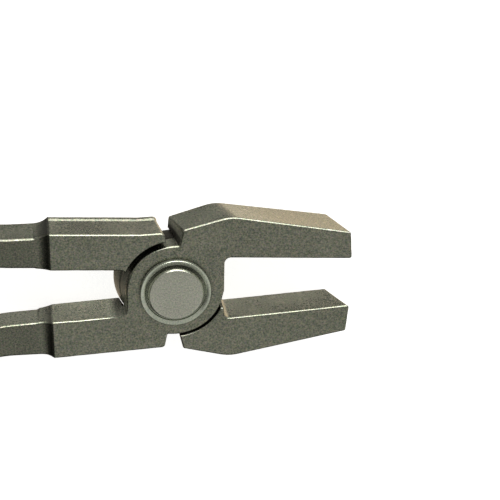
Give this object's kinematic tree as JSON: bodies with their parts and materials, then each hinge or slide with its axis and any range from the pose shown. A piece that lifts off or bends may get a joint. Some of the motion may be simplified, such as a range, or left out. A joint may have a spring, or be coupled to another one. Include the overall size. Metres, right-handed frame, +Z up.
{
  "type": "glass nibbling pliers",
  "caption": "Flat-jawed glass nibbling pliers with a riveted lap joint, shouldered forged handles and dipped grips.",
  "frame": {"origin": "on the rivet's axis, on the underside of its lower head, level with the bench that the tool lies on", "axes": "+X along the tool towards the jaw tips, +Y across it towards the upper handle, +Z up along the rivet"},
  "size_m": [0.1936, 0.0894, 0.0128],
  "materials": {
    "forged_steel": "satin nickel-plated, fine blasted grain",
    "rivet_steel": "satin, turned",
    "ring_steel": "fine turned, brighter",
    "grip_plastic": "dipped soft plastic"
  },
  "bodies": {
    "front_half": {"front_half_forging": "forged_steel", "lower_handle_grip": "grip_plastic", "pivot_rivet": "rivet_steel", "front_rivet_ring": "ring_steel", "rear_rivet_ring": "ring_steel"},
    "rear_half": {"rear_half_forging": "forged_steel", "upper_handle_grip": "grip_plastic"}
  },
  "joints": [
    {"name": "jaw_pivot", "type": "hinge", "parent": "front_half", "child": "rear_half", "pos_m": [0, 0, 0.0064], "axis": [0, 0, 1], "range_deg": [-9.5, 16.5]}
  ]
}
